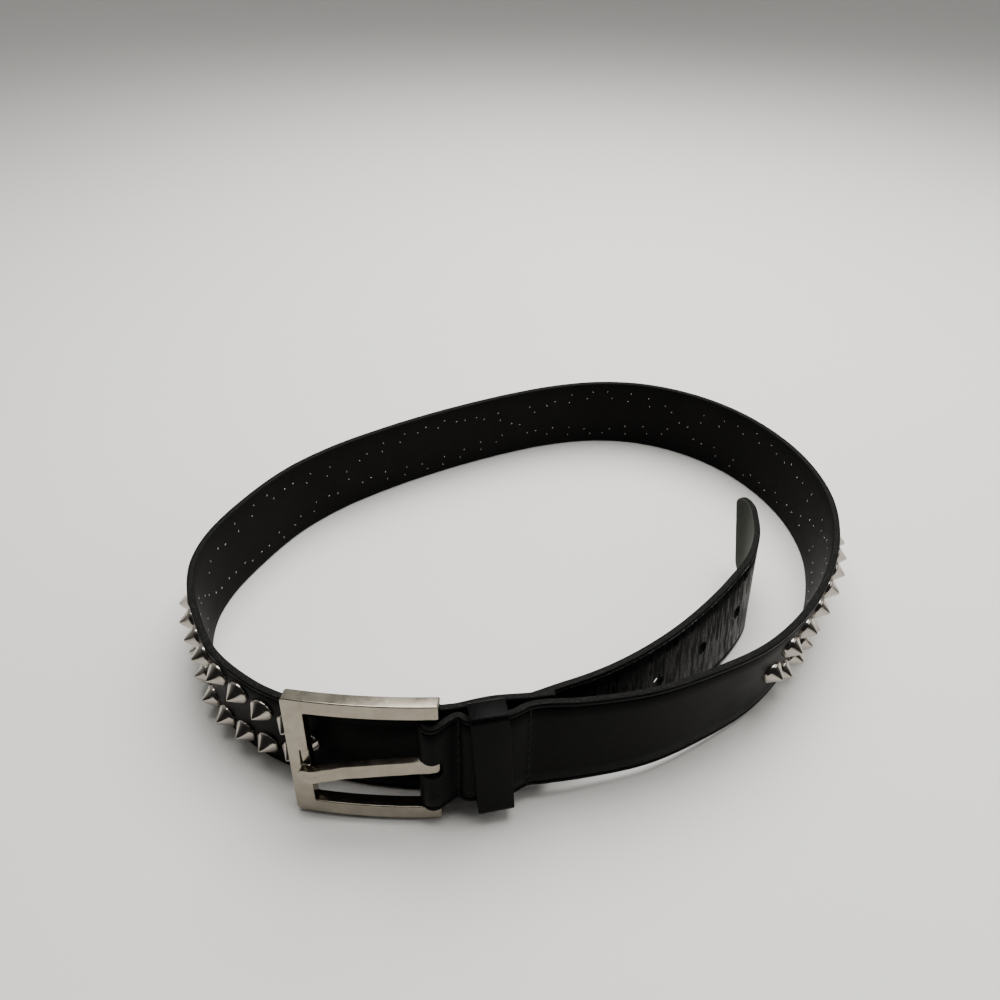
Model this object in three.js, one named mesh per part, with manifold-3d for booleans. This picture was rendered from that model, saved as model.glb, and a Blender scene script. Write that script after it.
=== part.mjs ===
// A studded leather belt laid in a loop on its edge. Millimetres, +Z up, the front faces -Y.
import * as THREE from "three";
import { mergeVertices } from "three/addons/utils/BufferGeometryUtils.js";
import Module from "manifold-3d";

const wasm = await Module();
wasm.setup();
const RAD = Math.PI / 180;

// Driving dimensions
const STRAP_WIDTH = 38;
const STRAP_THICK = 2.8;
const LOOP_WIDTH = 272; // mid-line, left to right
const LOOP_DEPTH = 206; // mid-line, front to back
const STATION_STEP = 7; // along the strap between two sections
const FOLD_STEP = 1.4; // the same round the hinge bar
const TIP_CORNER_R = 5;
const STUD_DIA = 9.5;
const STUD_HEIGHT = 5.2;
const STUD_SIDES = 8;
const PATTERN_LENGTH = 97; // one crossing to the next
const PATTERN_COUNT = 6;
const LAST_STUD_BACK = 3.6; // the stud in the buckle sits this much nearer the loop
const STUDS_FROM_BAR = 135; // hinge bar to the first stud, along the front layer
const HOLE_DIA = 5;
const HOLE_PITCH = 25.4;
const HOLE_COUNT = 5;
const HOLE_FROM_TIP = 50;
const FRAME_HEIGHT = 52;
const FRAME_LENGTH = 51.1;
const FRAME_DEPTH = 4.8;
const FRAME_END_BAR = 7.2; // width of the end bar the prong rests on
const FRAME_RAIL = 5.7; // height of the top and bottom rails
const FRAME_BULGE = 1.4;
const FRAME_PAST_BAR = 2.6; // the rails run past the hinge bar by this
const FRAME_CORNER_R = 2.2;
const FRAME_COLUMN = 4.4; // between two columns of the arched frame
const NOTCH_IN = 3; // into the end bar from the opening
const NOTCH_HEIGHT = 6.8;
const NOTCH_DEPTH = 1.6; // into the flat front of the end bar
const BAR_DIA = 3.4;
const BUCKLE_LEAN = 12.5; // degrees back from upright
const BUCKLE_YAW = -3.8; // degrees
const PRONG_WIDTH = 5.6;
const PRONG_LENGTH = 45.4; // bar axis to the tip
const PRONG_DROP = 0; // eye above the middle of the bar
const PRONG_SAG = 0.15; // fall per length
const PRONG_STRAIGHT = 4; // the fall starts this far from the bar axis
const EYE_CLEARANCE = 0.35;
const EYE_WALL = 1.6;
const SLOT_LENGTH = 14; // opening in the fold that lets the prong's eye out
const SLOT_SIDE_GAP = 1.4;
const SLOT_LEFT = 0.5; // its middle left of the bar axis
const KEEPER_LENGTH = 12.5; // along the strap
const KEEPER_THICK = 2.1;
const KEEPER_ROOM = 2.6; // inside height over the strap's width
const KEEPER_RISE = 0.4; // its middle above the strap's middle
const KEEPER_TILT = 3.5; // degrees, its bottom to the right
const KEEPER_BACK_GAP = 0.6;
const KEEPER_FRONT_GAP = 1.9;
const KEEPER_CORNER_R = 2;
const KEEPER_INNER_R = 0.8;
const FOLD_GAP = 0.5; // leather to hinge bar

// Mid-line of the strap seen from above, hinge bar at BAR_AT.
// across: share of LOOP_WIDTH from the middle, back: share of LOOP_DEPTH from the front line,
// lift: bottom edge above the floor as a share of STRAP_WIDTH,
// lean: degrees the top goes outward, rake: degrees the top goes along the strap.
const BAR_AT = { across: -0.0816, back: -0.0422, lift: 0.182 };
const PATH_COLUMNS = ["across", "back", "lift", "lean", "rake"];
const CHAPE_BACK = [
  [0.0662, 0.0073, 0.17, 12, 0],
  [0.0349, 0.001, 0.174, 12, 0],
  [0.0129, -0.0015, 0.177, 12, 0],
  [-0.011, -0.0053, 0.18, 12, 0],
  [-0.0331, -0.0121, 0.182, 12.5, 0],
  [-0.0507, -0.0184, 0.182, 12.5, 0],
];
const CHAPE_ROWS = 6; // the first rows of AROUND lean with the hinge bar
const AROUND = [
  [-0.0507, -0.0352, 0.182, -12.5, 0],
  [-0.0390, -0.0431, 0.182, -12.5, 0],
  [-0.011, -0.0367, 0.18, -12, 0],
  [0.0129, -0.0308, 0.177, -12, 0],
  [0.0349, -0.0152, 0.174, -12, 0],
  [0.0662, -0.0087, 0.163, -11.6, 0],
  [0.0982, -0.0029, 0.145, -11, 0],
  [0.1908, 0.0238, 0.108, -8.7, 0],
  [0.2739, 0.0704, 0.074, -5.6, 0],
  [0.3563, 0.1325, 0.042, -2, 0],
  [0.4235, 0.2141, 0.018, 0.6, 0],
  [0.4787, 0.3107, 0.008, 2, 0],
  [0.5202, 0.4204, 0, 2.4, 0],
  [0.5408, 0.5379, 0, 2.2, 0],
  [0.5338, 0.6583, 0, 1.7, 0],
  [0.5029, 0.7675, 0, 1.3, 0],
  [0.4489, 0.867, 0, 1.1, 0],
  [0.3768, 0.9417, 0, 1, 0],
  [0.2901, 0.9888, 0, 0.9, 0],
  [0.1996, 1.0005, 0, 0.6, 0],
  [0.111, 0.983, 0, 0.1, 0],
  [0.025, 0.9466, 0, -0.3, 0],
  [-0.064, 0.8976, 0, -0.5, 0],
  [-0.1467, 0.8437, 0, -0.4, 0],
  [-0.225, 0.784, 0, -0.1, 0],
  [-0.3007, 0.715, 0, 0.6, 0],
  [-0.3662, 0.6311, 0, 1.5, 0],
  [-0.4162, 0.5291, 0, 1.8, 0],
  [-0.4507, 0.4272, 0, 1, 0],
  [-0.4596, 0.3495, 0, -1, 0],
  [-0.45, 0.2767, 0, -3.2, 0],
  [-0.4265, 0.2063, 0, -5, 0],
  [-0.386, 0.1237, 0, -6.2, 0],
  [-0.3199, 0.0562, 0, -6.5, 0],
  [-0.2721, 0.0266, 0, -6.7, 0],
  [-0.2279, 0.011, 0, -7, 0],
];
const TAIL = [
  [-0.1654, -0.0035, 0, -8, 0],
  [-0.1029, -0.0084, 0, -9.5, 0],
  [-0.0496, -0.0021, 0, -11, 0],
  [-0.0074, 0.011, 0, -11.3, 0],
  [0.0349, 0.0212, 0, -11.3, 0],
  [0.0757, 0.0417, 0, -11, 0],
  [0.1221, 0.065, 0, -11, 0],
  [0.1632, 0.0908, 0, -11, 0],
  [0.2066, 0.1252, 0, -11, 3],
  [0.2533, 0.1699, 0, -11, 5],
  [0.304, 0.2282, 0, -11.5, 6],
  [0.3463, 0.2845, 0, -12, 7],
  [0.3831, 0.3471, 0, -9, 11],
  [0.4, 0.4042, 0, -4, 15],
  [0.4088, 0.446, 0.01, -3, 17],
  [0.411, 0.4877, 0.04, 2, 19],
  [0.4, 0.5169, 0.08, 3, 20],
];
// One pattern length: columns of studs, along as a share of PATTERN_LENGTH from the crossing,
// off as a share of STRAP_WIDTH above and below the middle.
const STUD_COLUMNS = [
  { along: 0, off: 0 },
  { along: 0.1, off: 0.195 },
  { along: 0.214, off: 0.24 },
  { along: 0.329, off: 0.285 },
  { along: 0.443, off: 0.315 },
  { along: 0.557, off: 0.315 },
  { along: 0.671, off: 0.285 },
  { along: 0.786, off: 0.24 },
  { along: 0.9, off: 0.195 },
];
// Stud outline from its base to the tip, as shares of its radius and height.
const STUD_OUTLINE = [
  { r: 1, h: -0.12 },
  { r: 1, h: 0.1 },
  { r: 0.86, h: 0.28 },
  { r: 0.18, h: 0.92 },
  { r: 0, h: 1 },
];
// Prong seen from above: along as a share of its length, front as its middle before the bar
// axis and thick, both as shares of its width.
const PRONG_SIDE = [
  { along: 0, front: 0.51, thick: 0.29 },
  { along: 0.08, front: 0.52, thick: 0.39 },
  { along: 0.25, front: 0.54, thick: 0.46 },
  { along: 0.63, front: 0.6, thick: 0.5 },
  { along: 0.78, front: 0.76, thick: 0.5 },
  { along: 0.87, front: 0.87, thick: 0.48 },
  { along: 1, front: 0.75, thick: 0.36 },
];

// Control points of the whole strap, from the turned-back end to the tip.
const deg = (rows) => rows.map((row) => Object.fromEntries(PATH_COLUMNS.map((c, i) => [c, row[i]])));
const place = (p) => new THREE.Vector3(p.across * LOOP_WIDTH, p.back * LOOP_DEPTH, p.lift * STRAP_WIDTH);
const bar = place(BAR_AT);
const barRun = new THREE.Vector3(-Math.sin(BUCKLE_YAW * RAD), Math.cos(BUCKLE_YAW * RAD), 0)
  .multiplyScalar(Math.sin(BUCKLE_LEAN * RAD));
const foldR = BAR_DIA / 2 + FOLD_GAP + STRAP_THICK / 2;
const fold = [90, 135, 180, 225, 270].map((a) => ({
  at: bar.clone().add(new THREE.Vector3(foldR * Math.cos(a * RAD), foldR * Math.sin(a * RAD), 0)),
  run: barRun.clone(),
}));
const leaning = (rows) => {
  const pts = deg(rows);
  return pts.map((p, i) => {
    const a = place(pts[Math.max(0, i - 1)]);
    const b = place(pts[Math.min(pts.length - 1, i + 1)]);
    const along = b.sub(a).setZ(0).normalize();
    const out = new THREE.Vector3(along.y, -along.x, 0);
    const run = out.multiplyScalar(Math.sin(p.lean * RAD)).addScaledVector(along, Math.sin(p.rake * RAD));
    return { at: place(p), run };
  });
};
const around = leaning([...AROUND, ...TAIL]);
const turnedBack = leaning(CHAPE_BACK);
for (const c of [...turnedBack, ...around.slice(0, CHAPE_ROWS)]) c.run.copy(barRun);
const control = [...turnedBack, ...fold, ...around];
const line = new THREE.CatmullRomCurve3(control.map((c) => c.at), false, "centripetal");
const runs = new THREE.CatmullRomCurve3(control.map((c) => c.run), false, "centripetal");
const LAST = control.length - 1;

// The strap's own axes at a share t of the control points.
function axesAt(t) {
  const p = line.getPoint(t);
  const run = runs.getPoint(t).setZ(0);
  const up = run.clone().setZ(Math.sqrt(Math.max(0.01, 1 - run.lengthSq())));
  const along = line.getTangent(t).setZ(0).normalize();
  const out = new THREE.Vector3().crossVectors(along, up).normalize();
  const middle = p.clone();
  middle.z += (STRAP_WIDTH / 2) * up.z + (STRAP_THICK / 2) * run.length();
  return { middle, up, out, along: new THREE.Vector3().crossVectors(up, out).normalize() };
}
// Length along the mid-line, measured from the front of the hinge bar.
const FINE = LAST * 24;
const lengths = [0];
for (let i = 1, a = axesAt(0).middle; i <= FINE; i++) {
  const b = axesAt(i / FINE).middle;
  lengths.push(lengths[i - 1] + a.distanceTo(b));
  a = b;
}
const lengthAt = (t) => lengths[Math.round(t * FINE)];
const barT = (CHAPE_BACK.length + fold.length - 1) / LAST;
const FROM_BAR = lengthAt(barT);
const TOTAL = lengths[FINE];
function tAt(length) {
  let i = lengths.findIndex((v) => v >= length);
  i = Math.min(Math.max(i, 1), FINE);
  const part = (length - lengths[i - 1]) / (lengths[i] - lengths[i - 1]);
  return (i - 1 + part) / FINE;
}

// A three.js geometry as a solid that can be joined and cut, and a solid as a geometry again.
function solid(geometry) {
  const bare = geometry.clone();
  bare.deleteAttribute("normal");
  bare.deleteAttribute("uv");
  const merged = mergeVertices(bare, 1e-4);
  return new wasm.Manifold(
    new wasm.Mesh({
      numProp: 3,
      vertProperties: new Float32Array(merged.attributes.position.array),
      triVerts: new Uint32Array(merged.index.array),
    }),
  );
}
function geometryOf(made) {
  const m = made.getMesh();
  const v = new Float32Array(m.numVert * 3);
  for (let i = 0; i < m.numVert; i++) v.set(m.vertProperties.subarray(i * m.numProp, i * m.numProp + 3), i * 3);
  return new THREE.BufferGeometry()
    .setAttribute("position", new THREE.BufferAttribute(v, 3))
    .setIndex(new THREE.BufferAttribute(new Uint32Array(m.triVerts), 1));
}
const box = (x, y, z) => new THREE.BoxGeometry(x, y, z);
const extruded = (shape, depth) => new THREE.ExtrudeGeometry(shape, { depth, bevelEnabled: false, curveSegments: 4 });
const outlined = (points) => new THREE.Shape(points.map(([x, y]) => new THREE.Vector2(x, y)));
function rounded(w, h, r) {
  const shape = new THREE.Shape();
  const corners = [[w / 2, h / 2, 0], [-w / 2, h / 2, 90], [-w / 2, -h / 2, 180], [w / 2, -h / 2, 270]];
  for (const [x, y, start] of corners)
    shape.absarc(x - Math.sign(x) * r, y - Math.sign(y) * r, r, start * RAD, (start + 90) * RAD, false);
  return shape;
}

// Leather strap: one loft through four-cornered sections.
function loft(sections) {
  const n = sections[0].length;
  const faces = [];
  for (let s = 0; s + 1 < sections.length; s++)
    for (let i = 0; i < n; i++) {
      const a = s * n + i, b = s * n + ((i + 1) % n);
      faces.push(a, b + n, b, a, a + n, b + n);
    }
  const end = (sections.length - 1) * n;
  for (let i = 1; i + 1 < n; i++) {
    faces.push(0, i, i + 1);
    faces.push(end, end + i + 1, end + i);
  }
  return new THREE.BufferGeometry().setFromPoints(sections.flat()).setIndex(faces);
}
const stations = [];
const inFold = (i) => i > CHAPE_BACK.length - 3 && i < CHAPE_BACK.length + fold.length + 1;
for (let i = 0; i < LAST; i++) {
  const a = lengthAt(i / LAST), b = lengthAt((i + 1) / LAST);
  const parts = Math.max(1, Math.ceil((b - a) / (inFold(i) ? FOLD_STEP : STATION_STEP)));
  for (let j = 0; j < parts; j++) stations.push(a + ((b - a) * j) / parts);
}
const kept = stations.filter((s) => s < TOTAL - TIP_CORNER_R * 1.07);
for (const share of [1, 0.7, 0.45, 0.25, 0.1, 0]) kept.push(TOTAL - TIP_CORNER_R * share);
const section = (s) => {
  const { middle, up, out } = axesAt(tAt(s));
  const past = Math.max(0, s - (TOTAL - TIP_CORNER_R));
  const half = STRAP_WIDTH / 2 - TIP_CORNER_R + Math.sqrt(TIP_CORNER_R ** 2 - past ** 2);
  return [[-1, -1], [1, -1], [1, 1], [-1, 1]].map(([o, u]) =>
    middle.clone().addScaledVector(out, (o * STRAP_THICK) / 2).addScaledVector(up, u * half));
};
let strap = solid(loft(kept.map(section)));

// Where something sits on the strap's axes: x along, y inward, z up.
function onStrap(s, off, outward) {
  const { middle, up, out, along } = axesAt(tAt(s));
  const at = middle.clone().addScaledVector(up, off).addScaledVector(out, outward);
  return new THREE.Matrix4().makeBasis(along, out.clone().negate(), up).setPosition(at);
}
const studOutline = STUD_OUTLINE.map((p) => new THREE.Vector2((p.r * STUD_DIA) / 2, p.h * STUD_HEIGHT));
const stud = solid(
  new THREE.LatheGeometry([new THREE.Vector2(0, studOutline[0].y), ...studOutline], STUD_SIDES).rotateX(Math.PI),
);
const firstStud = FROM_BAR + STUDS_FROM_BAR;
const studs = [];
for (let p = 0; p <= PATTERN_COUNT; p++)
  for (const { along, off } of p < PATTERN_COUNT ? STUD_COLUMNS : STUD_COLUMNS.slice(0, 1))
    for (const side of off ? [1, -1] : [1]) {
      const s = firstStud + (p + along) * PATTERN_LENGTH - (p < PATTERN_COUNT ? 0 : LAST_STUD_BACK);
      studs.push(stud.transform(onStrap(s, side * off * STRAP_WIDTH, STRAP_THICK / 2).toArray()));
    }
const punch = solid(new THREE.CylinderGeometry(HOLE_DIA / 2, HOLE_DIA / 2, 3 * STRAP_THICK, 14));
const holes = [];
for (let i = 0; i < HOLE_COUNT; i++)
  holes.push(punch.transform(onStrap(TOTAL - HOLE_FROM_TIP - i * HOLE_PITCH, 0, 0).toArray()));

// Buckle axes: origin in the middle of the hinge bar, x to the right, y away, z up the bar.
const barUp = (FRAME_HEIGHT / 2) * Math.cos(BUCKLE_LEAN * RAD) + (FRAME_DEPTH / 2) * Math.sin(BUCKLE_LEAN * RAD);
const barMiddle = new THREE.Vector3(bar.x, bar.y, barUp);
const strapMiddle = axesAt(barT).middle;
barMiddle.y += ((barUp - strapMiddle.z) * Math.sin(BUCKLE_LEAN * RAD)) / Math.cos(BUCKLE_LEAN * RAD);
const buckle = new THREE.Group();
buckle.position.copy(barMiddle);
buckle.rotation.set(-BUCKLE_LEAN * RAD, 0, BUCKLE_YAW * RAD, "ZYX");
buckle.updateMatrix();

const slot = solid(
  box(SLOT_LENGTH, 2 * (2 * foldR + STRAP_THICK), PRONG_WIDTH + 2 * SLOT_SIDE_GAP)
    .translate(-SLOT_LEFT, 0, PRONG_DROP)
    .applyMatrix4(buckle.matrix),
);
strap = wasm.Manifold.union([strap, ...studs]).subtract(wasm.Manifold.union([slot, ...holes]));

// Buckle frame: an arched slab with rounded corners and its opening, with the hinge bar across.
const left = FRAME_PAST_BAR - FRAME_LENGTH;
const middleX = left + FRAME_LENGTH / 2;
const bulge = (x) => FRAME_BULGE * (1 - ((x - middleX) / (FRAME_LENGTH / 2)) ** 2);
const columns = Math.max(4, Math.round(FRAME_LENGTH / FRAME_COLUMN));
const archX = Array.from({ length: columns + 1 }, (_, i) => left + (FRAME_LENGTH * i) / columns);
const slab = extruded(
  outlined([
    ...archX.map((x) => [x, -FRAME_DEPTH / 2 - bulge(x)]),
    ...[...archX].reverse().map((x) => [x, FRAME_DEPTH / 2 - bulge(x)]),
  ]),
  FRAME_HEIGHT,
).translate(0, 0, -FRAME_HEIGHT / 2);
const throughDepth = 4 * FRAME_DEPTH;
const corners = extruded(rounded(FRAME_LENGTH, FRAME_HEIGHT, FRAME_CORNER_R), throughDepth)
  .translate(middleX, 0, -throughDepth / 2)
  .rotateX(Math.PI / 2);
const openLength = FRAME_LENGTH - FRAME_END_BAR + FRAME_PAST_BAR;
const opening = box(openLength, throughDepth, FRAME_HEIGHT - 2 * FRAME_RAIL)
  .translate(left + FRAME_END_BAR + openLength / 2, 0, 0);
const notch = box(2 * NOTCH_IN, NOTCH_DEPTH + FRAME_DEPTH, NOTCH_HEIGHT)
  .translate(left + FRAME_END_BAR, -FRAME_DEPTH - (FRAME_DEPTH - NOTCH_DEPTH) / 2 + NOTCH_DEPTH / 2, 0);
const hinge = new THREE.CylinderGeometry(BAR_DIA / 2, BAR_DIA / 2, FRAME_HEIGHT - FRAME_RAIL, 20)
  .rotateX(Math.PI / 2);
const frame = solid(slab)
  .intersect(solid(corners))
  .subtract(wasm.Manifold.union([solid(opening), solid(notch)]))
  .add(solid(hinge));

// Prong: an eye round the bar with clearance and a shank that steps forward to its tip.
const eyeIn = BAR_DIA / 2 + EYE_CLEARANCE;
const eyeOut = eyeIn + EYE_WALL;
const side = (sign) => PRONG_SIDE.map((p) => [-p.along * PRONG_LENGTH, (-p.front + (sign * p.thick) / 2) * PRONG_WIDTH]);
const shank = extruded(outlined([...side(1), ...side(-1).reverse()]), PRONG_WIDTH).translate(0, 0, -PRONG_WIDTH / 2);
const upright = (r, height) => new THREE.CylinderGeometry(r, r, height, 24).rotateX(Math.PI / 2);
const plan = new THREE.Shape();
plan.moveTo(eyeOut, -PRONG_WIDTH / 2);
plan.lineTo(eyeOut, PRONG_WIDTH / 2);
plan.absarc(PRONG_WIDTH / 2 - PRONG_LENGTH, 0, PRONG_WIDTH / 2, 90 * RAD, 270 * RAD, false);
const planDepth = 4 * PRONG_WIDTH;
const tipPlan = extruded(plan, planDepth).translate(0, 0, -planDepth / 2).rotateX(Math.PI / 2);
const prongGeometry = geometryOf(
  solid(shank)
    .add(solid(upright(eyeOut, PRONG_WIDTH)))
    .subtract(solid(upright(eyeIn, 2 * PRONG_WIDTH)))
    .intersect(solid(tipPlan)),
);
const at = prongGeometry.attributes.position;
for (let i = 0; i < at.count; i++)
  at.setZ(i, at.getZ(i) + PRONG_DROP + Math.min(0, at.getX(i) + PRONG_STRAIGHT) * PRONG_SAG);

// Keeper: a leather ring round the front layer, its back between the two layers.
const keeperDepth = STRAP_THICK + KEEPER_BACK_GAP + KEEPER_FRONT_GAP + 2 * KEEPER_THICK;
const keeperHeight = STRAP_WIDTH + KEEPER_ROOM + 2 * KEEPER_THICK;
const ring = rounded(keeperDepth, keeperHeight, KEEPER_CORNER_R);
ring.holes.push(rounded(keeperDepth - 2 * KEEPER_THICK, keeperHeight - 2 * KEEPER_THICK, KEEPER_INNER_R));
const keeperGeometry = extruded(ring, KEEPER_LENGTH)
  .translate(0, 0, -KEEPER_LENGTH / 2)
  .rotateX(Math.PI / 2)
  .rotateZ(Math.PI / 2)
  .rotateY(-KEEPER_TILT * RAD);
const keeperAt = lengthAt((CHAPE_BACK.length + fold.length + 2) / LAST);
const keeperOut = keeperDepth / 2 - STRAP_THICK / 2 - KEEPER_BACK_GAP - KEEPER_THICK;

// Named meshes. The belt group is set so that the origin is under the middle of the whole belt.
const blackLeather = new THREE.MeshStandardMaterial({ color: 0x1a1919, roughness: 0.45, metalness: 0 });
const nickel = new THREE.MeshStandardMaterial({ color: 0xb8b1a6, roughness: 0.22, metalness: 1 });
const named = (name, geometry, material) => {
  const mesh = new THREE.Mesh(geometry, material);
  mesh.name = name;
  return mesh;
};
const keeper = named("keeper", keeperGeometry, blackLeather);
onStrap(keeperAt, KEEPER_RISE, keeperOut).decompose(keeper.position, keeper.quaternion, keeper.scale);
buckle.add(named("buckle_frame", geometryOf(frame), nickel), named("prong", prongGeometry, nickel));
const belt = new THREE.Group();
belt.add(named("studded_strap", geometryOf(strap), blackLeather), keeper, buckle);
const root = new THREE.Group();
root.add(belt);
const around3d = new THREE.Box3().setFromObject(root, true);
belt.position.set(
  -(around3d.min.x + around3d.max.x) / 2,
  -(around3d.min.y + around3d.max.y) / 2,
  -around3d.min.z,
);

export default root;
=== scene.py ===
# A black leather belt with nickel cone studs, laid in a loop on its edge. Metres, +Z up.
import math
import random

import bmesh
import bpy
from mathutils import Matrix, Vector


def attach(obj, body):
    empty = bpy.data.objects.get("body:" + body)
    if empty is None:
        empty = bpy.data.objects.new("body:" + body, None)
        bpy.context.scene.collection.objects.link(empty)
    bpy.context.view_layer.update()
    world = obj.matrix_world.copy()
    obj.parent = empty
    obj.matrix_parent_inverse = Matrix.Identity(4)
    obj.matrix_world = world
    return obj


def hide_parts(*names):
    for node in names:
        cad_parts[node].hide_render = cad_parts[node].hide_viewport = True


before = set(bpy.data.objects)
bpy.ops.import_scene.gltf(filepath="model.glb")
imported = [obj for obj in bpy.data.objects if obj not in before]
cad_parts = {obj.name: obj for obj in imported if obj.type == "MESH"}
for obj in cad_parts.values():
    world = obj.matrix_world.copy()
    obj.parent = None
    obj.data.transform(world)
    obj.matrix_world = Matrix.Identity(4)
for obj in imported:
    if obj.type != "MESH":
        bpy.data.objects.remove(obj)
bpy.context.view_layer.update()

MM = 0.001

# The strap: one band of full-grain cowhide, 38 mm wide and 2.8 mm thick, dyed black through,
# its grain side finished and creased along both edges, its edges cut raw. Its near end turns
# round the hinge bar and is sewn back; its far end is rounded and has five punched holes.
STRAP_WIDTH = 38.0
STRAP_THICK = 2.8
TIP_CORNER = 5.0
EDGE_ROUND = 0.55
CREASE_FROM_EDGE = 1.55
CREASE_HALF = 0.35
CREASE_DEEP = 0.28
HOLE_COUNT = 5
HOLE_RADIUS = 2.5
HOLE_LIP = 0.3
HOLE_PITCH = 25.4
HOLE_FROM_TIP = 50.0
# The slot in the fold: its size along the strap, through it and up it, with its middle this
# much nearer the turned-back end than the front of the bar.
SLOT_SIZE = (18.5, 8, 6.3)
SLOT_BACK = 6.15
SLOT_CORNER = 1.6
# The route is given by rows: across as a share of LOOP_WIDTH, back as a share of LOOP_DEPTH,
# lift of the lower edge as a share of STRAP_WIDTH, and the degrees by which the top leans
# outward and rakes along the strap. ROUTE_ZERO is the rows' zero in the frame's millimetres.
LOOP_WIDTH = 272.0
LOOP_DEPTH = 206.0
ROUTE_ZERO = Vector((-11.1912, -97.4016, 0.0211))
TURNED_BACK = [
    (0.0662, 0.0073, 0.17, 12, 0),
    (0.0349, 0.001, 0.174, 12, 0),
    (0.0129, -0.0015, 0.177, 12, 0),
    (-0.011, -0.0053, 0.18, 12, 0),
    (-0.0331, -0.0121, 0.182, 12.5, 0),
    (-0.0507, -0.0184, 0.182, 12.5, 0),
]
AROUND = [
    (-0.0507, -0.0352, 0.182, -12.5, 0),
    (-0.039, -0.0431, 0.182, -12.5, 0),
    (-0.011, -0.0367, 0.18, -12, 0),
    (0.0129, -0.0308, 0.177, -12, 0),
    (0.0349, -0.0152, 0.174, -12, 0),
    (0.0662, -0.0087, 0.163, -11.6, 0),
    (0.0982, -0.0029, 0.145, -11, 0),
    (0.1908, 0.0238, 0.108, -8.7, 0),
    (0.2739, 0.0704, 0.074, -5.6, 0),
    (0.3563, 0.1325, 0.042, -2, 0),
    (0.4235, 0.2141, 0.018, 0.6, 0),
    (0.4787, 0.3107, 0.008, 2, 0),
    (0.5202, 0.4204, 0, 2.4, 0),
    (0.5408, 0.5379, 0, 2.2, 0),
    (0.5338, 0.6583, 0, 1.7, 0),
    (0.5029, 0.7675, 0, 1.3, 0),
    (0.4489, 0.867, 0, 1.1, 0),
    (0.3768, 0.9417, 0, 1, 0),
    (0.2901, 0.9888, 0, 0.9, 0),
    (0.1996, 1.0005, 0, 0.6, 0),
    (0.111, 0.983, 0, 0.1, 0),
    (0.025, 0.9466, 0, -0.3, 0),
    (-0.064, 0.8976, 0, -0.5, 0),
    (-0.1467, 0.8437, 0, -0.4, 0),
    (-0.225, 0.784, 0, -0.1, 0),
    (-0.3007, 0.715, 0, 0.6, 0),
    (-0.3662, 0.6311, 0, 1.5, 0),
    (-0.4162, 0.5291, 0, 1.8, 0),
    (-0.4507, 0.4272, 0, 1, 0),
    (-0.4596, 0.3495, 0, -1, 0),
    (-0.45, 0.2767, 0, -3.2, 0),
    (-0.4265, 0.2063, 0, -5, 0),
    (-0.386, 0.1237, 0, -6.2, 0),
    (-0.3199, 0.0562, 0, -6.5, 0),
    (-0.2721, 0.0266, 0, -6.7, 0),
    (-0.2279, 0.011, 0, -7, 0),
]
FREE_END = [
    (-0.1654, -0.0035, 0, -8, 0),
    (-0.1029, -0.0084, 0, -9.5, 0),
    (-0.0496, -0.0021, 0, -11, 0),
    (-0.0074, 0.011, 0, -11.3, 0),
    (0.0349, 0.0212, 0, -11.3, 0),
    (0.0757, 0.0417, 0, -11, 0),
    (0.1221, 0.065, 0, -11, 0),
    (0.1632, 0.0908, 0, -11, 0),
    (0.2066, 0.1252, 0, -11, 3),
    (0.2533, 0.1699, 0, -11, 5),
    (0.304, 0.2282, 0, -11.5, 6),
    (0.3463, 0.2845, 0, -12, 7),
    (0.3831, 0.3471, 0, -9, 11),
    (0.4, 0.4042, 0, -4, 15),
    (0.4088, 0.446, 0.01, -3, 17),
    (0.411, 0.4877, 0.04, 2, 19),
    (0.4, 0.5169, 0.08, 3, 20),
]
# The fold between them is half a turn round the hinge bar, and the first rows of AROUND lean
# as the bar does.
BAR_AT = (-0.0816, -0.0422, 0.182)
BAR_RADIUS = 1.7
FOLD_GAP = 0.5
FOLD_TURNS = (90, 135, 180, 225, 270)
ROWS_WITH_BAR = 6
BUCKLE_YAW = math.radians(-3.8)
BUCKLE_LEAN = math.radians(12.5)
STEPS_PER_ROW = 24


def floor_point(across, back, lift):
    """A row's shares as a point in mm."""
    return Vector((across * LOOP_WIDTH, back * LOOP_DEPTH, lift * STRAP_WIDTH)) + ROUTE_ZERO


def rows_with_runs(rows):
    """Each row as its foot, and how far the strap runs towards x and y per unit of its length up."""
    feet = [floor_point(*row[:3]) for row in rows]
    made = []
    for i, row in enumerate(rows):
        along = (feet[min(i + 1, len(rows) - 1)] - feet[max(i - 1, 0)]).to_2d().normalized()
        outward = Vector((along.y, -along.x))
        run = outward * math.sin(math.radians(row[3])) + along * math.sin(math.radians(row[4]))
        made.append((feet[i], run))
    return made


bar_run = Vector((-math.sin(BUCKLE_YAW), math.cos(BUCKLE_YAW))) * math.sin(BUCKLE_LEAN)
fold_radius = BAR_RADIUS + FOLD_GAP + STRAP_THICK / 2
route = [(foot, bar_run) for foot, run in rows_with_runs(TURNED_BACK)]
for turn in FOLD_TURNS:
    round_bar = Vector((math.cos(math.radians(turn)), math.sin(math.radians(turn)), 0)) * fold_radius
    route.append((floor_point(*BAR_AT) + round_bar, bar_run))
for i, (foot, run) in enumerate(rows_with_runs(AROUND + FREE_END)):
    route.append((foot, bar_run if i < ROWS_WITH_BAR else run))
FEET = [tuple(foot) for foot, run in route]
RUNS = [tuple(run) for foot, run in route]


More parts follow.
